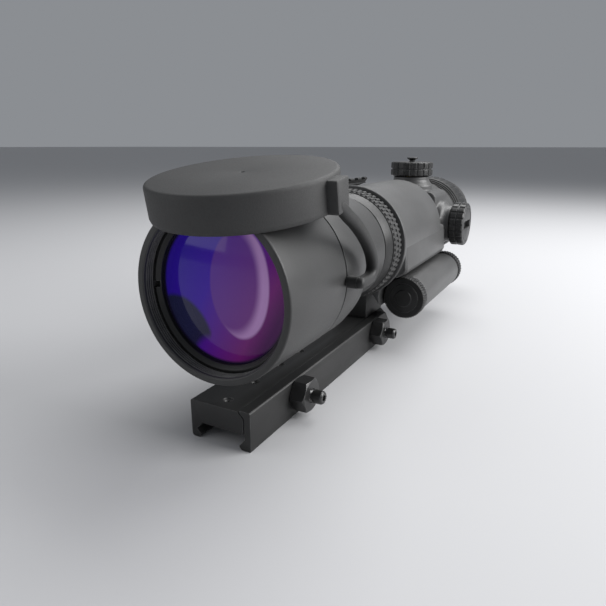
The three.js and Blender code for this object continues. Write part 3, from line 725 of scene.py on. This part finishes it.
def turret(axis, body_name, knob_node, screw_node, slotted):
    r, low = 13.8, KNOB_LOW
    top = low + 9
    profile = [
        (4.4, low, 0.1),
        (r - 0.9, low, 0.3),
        (r, low + 0.7, 0.3),
        (r, low + 4, 0.15),
        (r - 0.75, low + 4.2, 0.1),
        (r - 0.75, low + 4.9, 0.1),
        (r, low + 5.1, 0.15),
        (r, top - 0.7, 0.4),
        (r - 0.8, top, 0.4),
        (r - 2.6, top, 0.1),
        (r - 2.8, top - 0.25, 0.05),
        (r - 3.3, top - 0.25, 0.05),
        (r - 3.5, top, 0.1),
        (2.1, top, 0.1),
        (2.1, low + 3.3, 0.05),
        (4.4, low + 3.3, 0.05),
    ]
    centre = (0, TURRET_Y, 0)
    knob = turned(profile, axis, centre, segments=240, edge=teeth(20, r, 0.55, 0.6, 0.14))
    if slotted:
        slot = block((top - 2.6, top + 1), (TURRET_Y - 8.5, TURRET_Y + 8.5), (-2.4, 2.4))
        knob = bevelled(cut(knob, slot), 0.12, angle=60)
    piece(f"{knob_node}_grip", knob, OPTICS, body_name, "knob_anodised", knob_node, sharp=30)
    if slotted:
        screw = turned([(0, low + 3.3), (1.8, low + 3.3), (1.8, top - 2.7), (0, top - 2.7)], axis, centre, 48)
        screw = cut(screw, block((top - 3.3, top), (TURRET_Y - 2, TURRET_Y + 2), (-0.3, 0.3)))
    else:
        screw = turned(
            [
                (0, low + 3.3),
                (1.8, low + 3.3),
                (1.8, top + 1.2, 0.5),
                (3.55, top + 2.2, 0.3),
                (3.55, top + 2.85, 0.25),
                (0, top + 2.85),
            ],
            axis,
            centre,
            64,
        )
        screw = cut(screw, block((-4, 4), (TURRET_Y - 0.6, TURRET_Y + 0.6), (top + 1.8, top + 4)))
    piece(f"{screw_node}_post", screw, OPTICS, body_name, "dark_steel", screw_node)


def battery():
    centre = (BATTERY.x, 0, BATTERY.z)
    tube = turned(
        [
            (8.9, 138, 0.2),
            (10.5, 138, 0.2),
            (10.9, 138.5, 0.3),
            (10.9, 210.9, 0.4),
            (10.3, 211.4, 0.2),
            (10.3, 212.2, 0.2),
            (9.8, 212.6, 0.2),
            (3.5, 212.6, 0.1),
            (3.5, 205.6, 0.1),
            (8.9, 205.6, 0.1),
        ],
        centre=centre,
        segments=128,
    )
    piece("battery_housing", tube, OPTICS, "body", "body_paint", "battery_tube")

    rim = turned(
        [(0, 131), (9.2, 131, 0.2), (10.9, 131, 0.4), (11.5, 131.8, 0.3), (11.5, 136.9, 0.3), (10.9, 137.6, 0.3), (0, 137.6)],
        centre=centre,
        segments=288,
        edge=teeth(48, 11.5, 0.45, 0.35, 0.3),
    )
    disc = turned(
        [(0, 129.8), (4.4, 129.8, 0.3), (4.7, 130.3, 0.1), (7.8, 130.4, 0.2), (8.1, 131.2, 0.1), (0, 131.2)],
        centre=centre,
    )
    plug = turned(
        [(0, 137.4), (8.5, 137.4), (8.5, 139), (7, 139), (7, 141), (8.5, 141), (8.5, 142.6), (5.4, 142.6), (5.4, 140.4), (0, 140.4)],
        centre=centre,
        segments=64,
        radius=0.1,
    )
    cap = together(rim, disc, plug)
    piece("battery_cover", cap, OPTICS, "battery_cap_body", "black_anodised", "battery_cap", sharp=28)

    knob = turned(
        [(0, 206.4), (3, 206.4), (3, 213), (10.6, 213, 0.2), (11.4, 213.6, 0.3), (11.4, 218.4, 0.3), (10.6, 219, 0.2), (9, 219, 0.1), (8.2, 220, 0.3), (0, 220)],
        centre=centre,
        segments=240,
        edge=teeth(40, 11.4, 0.45, 0.35, 0.3),
    )
    mark = block((BATTERY.x - 0.5, BATTERY.x + 0.5), (219.6, 221), (BATTERY.z + 2.5, BATTERY.z + 7.5))
    piece("power_switch_knob", cut(knob, mark), OPTICS, "power_switch", "black_anodised", "power_knob", sharp=28)


def eyepiece():
    tube = turned(
        [
            (16.5, 232),
            (18, 232),
            (18, 240.3),
            (23.5, 240.3, 0.5),
            (23.5, 256.6, 0.5),
            (21.5, 257),
            (21.5, 284),
            (17.5, 284),
            (17.5, 262),
            (16.5, 262),
        ],
        segments=144,
    )
    flats = extruded(hexagon(45.6, turn=math.pi / 6), "y", 231, 285)
    shell = bevelled(common(tube, flats), 0.35, angle=20)
    slot = block((16, 19), (243.5, 250.5), (14.5, 20))
    piece("eyepiece_tube", cut(shell, slot), OPTICS, "body", "body_paint", "eyepiece_housing", sharp=26)

    steps = [(21.8, 257.4, 0.1)]
    for radius, station in ((23.4, 257.4), (24.4, 258.6), (25.4, 259.8), (26.4, 261.2)):
        steps += [(radius, station, 0.2), (radius + 0.25, station + 1.1, 0.15)]
    ring = turned(
        [*steps, (27.2, 264.6, 0.4), (27.2, 276.6, 0.4), (26.4, 278.6, 0.3), (25.6, 279, 0.2), (21.8, 279, 0.1)],
        segments=288,
        edge=teeth(36, 27.2, 0.5, 0.62, 0.16),
    )
    piece("diopter_grip", ring, OPTICS, "diopter", "black_anodised", "diopter_ring", sharp=28)

    cup = turned(
        [
            (21.8, 279.4, 0.2),
            (26, 279.4, 0.5),
            (25.7, 283, 0.4),
            (24.9, 283.8, 0.3),
            (25.2, 285.4, 0.4),
            (24.2, 286.6, 0.3),
            (24.4, 288.4, 0.4),
            (23.7, 290, 0.5),
            (24.2, 296, 0.8),
            (23.6, 298, 0.6),
            (22.2, 298, 0.5),
            (21.8, 296.4, 0.4),
            (21.6, 288, 0.3),
            (21.8, 284.3, 0.2),
        ],
        segments=144,
    )
    piece("eye_rubber", cup, OPTICS, "body", "eyecup_rubber", "eyecup")


def flip_cap():
    shell = turned(
        [
            (0.8, 0, 0.25),
            (CAP_R, 0, 1.5),
            (CAP_R, CAP_DEPTH - 1.4, 0.8),
            (CAP_R - 0.5, CAP_DEPTH, 0.6),
            (CAP_R - 1.6, CAP_DEPTH, 0.5),
            (CAP_R - 1.6, 2.2, 0.6),
            (0.8, 2.2, 0.1),
        ],
        segments=192,
    )
    lugs = []
    for side in (-1, 1):
        reach = sorted((side * 33, side * 38.9))
        outline = [(1.4, -3.6), (CAP_DEPTH - 0.1, -3.2), (CAP_DEPTH - 0.1, 5.4), (1.4, 6.2)]
        lugs.append(extruded(outline, "x", *reach, radius=1.0, bevel=0.9))
    holes = rod(1.6, -CAP_R - 1, CAP_R + 1, "x", (0, HINGE_DEPTH, 0))
    piece("cap_shell", cut(joined(shell, *lugs), holes), CAP, "cap", "cap_rubber", "lens_cap")


ARM_PATH = [
    (HINGE.y, HINGE.z),
    (31, 26.8),
    (38.5, 22.6),
    (45.5, 17.9),
    (51, 13.2),
    (54.9, 8.4),
    (56.5, 3.9),
    (55.5, 1.2),
    (53, -0.15),
    (48, -0.35),
    (GROOVE_Y, 0),
]
ARM_X = (35.4, 40.2)
ARM_HALF = 2.3


def curve_points(points, steps=8):
    """Places and directions along a smooth curve through the points."""
    padded = [points[0], *points, points[-1]]
    out = []
    for i in range(1, len(padded) - 2):
        a, b, c, d = (Vector(p) for p in padded[i - 1 : i + 3])
        last = i == len(padded) - 3
        for k in range(steps + (1 if last else 0)):
            t = k / steps
            place = 0.5 * (2 * b + (c - a) * t + (2 * a - 5 * b + 4 * c - d) * t**2 + (3 * b - a - 3 * c + d) * t**3)
            out.append(place)
    ways = []
    for i in range(len(out)):
        ways.append((out[min(i + 1, len(out) - 1)] - out[max(i - 1, 0)]).normalized())
    return out, ways


def soft_bar(points, x0, x1, half, sides=28):
    """A bar with a round-cornered section along a path of (Y, Z) points, with rounded ends."""
    places, ways = curve_points(points)
    steps = [(places[0], ways[0], -share) for share in (0.98, 0.85, 0.6, 0.3)]
    steps += [(place, way, 0) for place, way in zip(places, ways)]
    steps += [(places[-1], ways[-1], share) for share in (0.3, 0.6, 0.85, 0.98)]
    bm = bmesh.new()
    rings = []
    for place, way, past in steps:
        shrink = math.sqrt(1 - past * past)
        centre = place + way * past * half
        width = (x1 - x0) * min(1, 0.7 + 0.3 * len(rings) / 16)
        middle_x = math.copysign(min(abs(x0), abs(x1)) + width / 2, x0)
        ring = []
        for k in range(sides):
            angle = 2 * math.pi * k / sides
            u, v = (math.copysign(abs(w) ** 0.75, w) for w in (math.cos(angle), math.sin(angle)))
            across = half * v * shrink
            x = middle_x + width / 2 * u * (0.75 + 0.25 * shrink)
            ring.append(bm.verts.new((x, centre.x - way.y * across, centre.y + way.x * across)))
        rings.append(ring)
    for one, two in zip(rings, rings[1:]):
        for k in range(sides):
            n = (k + 1) % sides
            bm.faces.new([one[k], one[n], two[n], two[k]])
    bm.faces.new(rings[0])
    bm.faces.new(rings[-1])
    return finished(bm)


def arms():
    for hand, side in (("right", 1), ("left", -1)):
        x0, x1 = sorted((side * ARM_X[0], side * ARM_X[1]))
        inner, outer = sorted((side * 33.4, side * (ARM_X[0] + 2)))
        bar = soft_bar(ARM_PATH, x0, x1, ARM_HALF)
        boss = rod(2.5, inner, outer, "x", (0, GROOVE_Y, 0), segments=64)
        hole_x = sorted((side * 30, side * 39))
        holes = [rod(1.5, *hole_x, "x", (0, GROOVE_Y, 0)), rod(1.6, *hole_x, "x", (0, HINGE.y, HINGE.z))]
        arm = cut(joined(bar, boss), *holes)
        name = f"cap_arm_{hand}"
        arm.transform(OPTICS)
        arm.name = name
        dress(arm, "arm_rubber", 50)
        obj = bpy.data.objects.new(name, arm)
        bpy.context.scene.collection.objects.link(obj)
        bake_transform(obj)
        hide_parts(f"strap_arm_{hand}", f"strap_loop_{hand}")


BAR_Y = [value / MM for value in (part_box("mount_base")[0].y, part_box("mount_base")[1].y)]
BAR_TOP, BAR_LOW = 9.0, -6.5
STUDS = {place: (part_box(f"clamp_nut_{place}")[0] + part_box(f"clamp_nut_{place}")[1]) / 2 / MM for place in ("front", "rear")}
RISER_SCREWS = {"front": 57.5, "rear": 68.5}


def mount():
    base = extruded(
        [
            (-7.9, 0, 0.3),
            (-10.65, -2.75, 0.15),
            (-10.65, -3, 0.15),
            (-8.9, -4.75, 0.3),
            (-8.9, -5.4, 0.3),
            (-9.9, BAR_LOW, 0.4),
            (-13.2, BAR_LOW, 2.6),
            (-13.2, 8.5, 0.5),
            (-12.7, BAR_TOP, 0.5),
            (8.2, BAR_TOP, 2.2),
            (10.9, 6.3, 1.0),
            (10.9, 0, 0.3),
        ],
        "y",
        *BAR_Y,
        bevel=0.25,
    )
    tools = [rod(1.5, 4.4, BAR_TOP + 1, "z", (0, y, 0), 40) for y in (-67.8, -49.2, -29.1, -10.8)]
    tools += [turned([(0, 8.3), (1.5, 8.3), (2.1, 9.2), (0, 9.2)], "z", (0, y, 0), 40, 0) for y in (-67.8, -49.2, -29.1, -10.8)]
    for y in RISER_SCREWS.values():
        tools += [rod(3.6, -1, 4.4, "z", (0, y, 0)), rod(2.3, 4, BAR_TOP + 1, "z", (0, y, 0))]
    for place in STUDS.values():
        across = ("x", (0, place.y, place.z))
        tools += [rod(2.8, -14, 12, *across), rod(4.2, -14, -10.4, *across)]
    base = cut(base, *tools)
    piece("mount_body", base, RAIL, "body", "mount_anodised", "mount_base")
    for k, y in enumerate((-67.8, -49.2, -29.1, -10.8), 1):
        rings = [(1.49, 4.5, 0)]
        for turn in range(7):
            rings += [(1.49, 4.7 + 0.5 * turn, 0), (1.28, 4.95 + 0.5 * turn, 0)]
        rings += [(1.49, 8.25, 0)]
        piece(f"mount_thread_{k}", turned(rings, "z", (0, y, 0), 32), RAIL, "body", "mount_anodised")

    bar = extruded(
        [
            (10.65, -2.75, 0.15),
            (10.65, -3, 0.15),
            (8.9, -4.75, 0.3),
            (8.9, -5.4, 0.3),
            (9.9, BAR_LOW, 0.4),
            (14.05, BAR_LOW, 0.6),
            (14.05, 9, 0.5),
            (13.5, 9.5, 0.4),
            (9.3, 9.5, 0.2),
            (9.3, 8.6, 0.3),
            (11.3, 6.6, 1.0),
            (11.3, -2.1, 0.2),
        ],
        "y",
        *BAR_Y,
        bevel=0.25,
    )
    rear = BAR_Y[1]
    corner = extruded([(rear - 9, 10), (rear + 1, 10), (rear + 1, 0)], "x", 7, 15)
    holes = [rod(2.8, 8, 15, "x", (0, place.y, place.z)) for place in STUDS.values()]
    piece("clamp_jaw", bevelled(cut(bar, corner, *holes), 0.1, angle=40), RAIL, "clamp", "mount_anodised", "clamp_bar")

    foot = block((-10.5, 8.7), (49, 73.5), (BAR_TOP + 0.3, 24), bevel=0.6)
    saddle = rod(30.1, 40, 80, centre=(0, 0, AXIS_Z / MM), segments=160)
    tapped = [rod(2.3, 8, 18, "z", (0, y, 0)) for y in RISER_SCREWS.values()]
    piece("riser", cut(foot, saddle, *tapped), RAIL, "body", "mount_anodised", "riser_block")
    for place, y in RISER_SCREWS.items():
        screw = turned(
            [(0, 0.5), (3.0, 0.5, 0.2), (3.3, 0.9, 0.2), (3.3, 4.1, 0.1), (2, 4.1), (2, 17.4, 0.3), (0, 17.4)],
            "z",
            (0, y, 0),
            56,
        )
        screw = cut(screw, extruded(hexagon(3, (0, y)), "z", -0.5, 2.6))
        piece(f"riser_bolt_{place}", screw, RAIL, "body", "dark_steel", f"riser_screw_{place}")


def fasteners():
    for place, centre in STUDS.items():
        across = (0, centre.y, centre.z)
        x0, x1 = 14.35, 20.9
        prism = extruded(hexagon(13, (centre.y, centre.z)), "x", x0, x1, bevel=0.12)
        crown = turned(
            [(0, x0), (6.5, x0), (7.62, x0 + 0.7), (7.62, x1 - 0.75), (6.4, x1), (0, x1)], "x", across, 96, 0.1
        )
        nut = cut(
            common(prism, crown),
            rod(2.8, x0 - 1, x1 + 1, "x", across),
            turned([(0, x1 - 0.5), (2.7, x1 - 0.5), (3.3, x1 + 0.1), (0, x1 + 0.1)], "x", across, 48, 0),
        )
        nut = bevelled(nut, 0.1, angle=25)
        piece(f"hex_nut_{place}", nut, RAIL, f"nut_{place}", "nut_steel", f"clamp_nut_{place}", sharp=24)

        head = [(0, -12.9), (3.6, -12.9, 0.2), (3.9, -12.5, 0.2), (3.9, -10.8, 0.1), (2.4, -10.8, 0.1)]
        thread = []
        pitch, start = 0.8, 13.0
        for k in range(11):
            thread += [(2.5, start + pitch * k, 0), (2.12, start + pitch * (k + 0.5), 0)]
        end = [(2.2, 21.9, 0.1), (2.85, 22.1, 0.15), (2.85, 25.7, 0.3), (2.3, 26.4, 0.2), (0, 26.4)]
        shaft = turned([*head, (2.4, 12.6), *thread, *end], "x", across, 64)
        socket = extruded(hexagon(2.5, (centre.y, centre.z)), "x", 24.3, 27)
        drive = extruded(hexagon(3.2, (centre.y, centre.z)), "x", -14, -11.6)
        stud = cut(shaft, socket, drive)
        piece(f"stud_{place}", stud, RAIL, "body", "dark_steel", f"clamp_stud_{place}", sharp=28)


objective()
glass()
focus()
body()
small_rail()
turret("z", "elevation_turret", "elevation_knob", "elevation_screw", False)
turret("x", "windage_turret", "windage_knob", "windage_screw", True)
battery()
eyepiece()
flip_cap()
arms()
mount()
fasteners()

for node, slot in node_slots().items():
    slots = frame["nodes"][node].data.materials
    slots.clear()
    slots.append(LOOKS[slot])

# ---- floor, light and camera ----
FLOOR_HALF = 40.0
floor_mesh = bpy.data.meshes.new("floor")
corners = [(-1, -1), (1, -1), (1, 1), (-1, 1)]
floor_mesh.from_pydata([(x * FLOOR_HALF, y * FLOOR_HALF, cad_box[0].z) for x, y in corners], [], [(0, 1, 2, 3)])
floor = bpy.data.objects.new("floor", floor_mesh)
bpy.context.scene.collection.objects.link(floor)
floor_look, floor_nodes, _ = shader("floor_look")
floor_nodes["Principled BSDF"].inputs["Base Color"].default_value = (0.5, 0.5, 0.51, 1)
floor_nodes["Principled BSDF"].inputs["Roughness"].default_value = 0.7
floor_mesh.materials.append(floor_look)

world = bpy.data.worlds.new("studio")
bpy.context.scene.world = world
world.use_nodes = True
world.node_tree.nodes["Background"].inputs["Color"].default_value = (0.86, 0.9, 0.96, 1)
world.node_tree.nodes["Background"].inputs["Strength"].default_value = 0.3


def softbox(name, place, target, width, height, power):
    light = bpy.data.lights.new(name, "AREA")
    light.shape = "RECTANGLE"
    light.size, light.size_y = width, height
    light.energy = power
    obj = bpy.data.objects.new(name, light)
    obj.location = place
    obj.rotation_euler = (Vector(target) - Vector(place)).to_track_quat("-Z", "Y").to_euler()
    bpy.context.scene.collection.objects.link(obj)


CENTRE = (cad_box[0] + cad_box[1]) / 2
softbox("key_right", (0.75, 0.3, 0.45), CENTRE, 0.7, 0.5, 10)
softbox("top_back", (0.1, 0.5, 0.75), CENTRE, 0.8, 0.5, 7)
softbox("fill_left", (-0.6, -0.5, 0.35), CENTRE, 0.6, 0.6, 1.2)

camera_data = bpy.data.cameras.new("camera")
camera_data.lens = 31.67
camera_data.sensor_width = 36
camera = bpy.data.objects.new("camera", camera_data)
camera.location = (0.11255, -0.21565, 0.10147)
camera.rotation_euler = (math.radians(90 - 16.45), 0, math.radians(28.49))
camera_data.clip_start = 0.01
bpy.context.scene.collection.objects.link(camera)
bpy.context.scene.camera = camera
bpy.context.scene.view_settings.view_transform = "Standard"
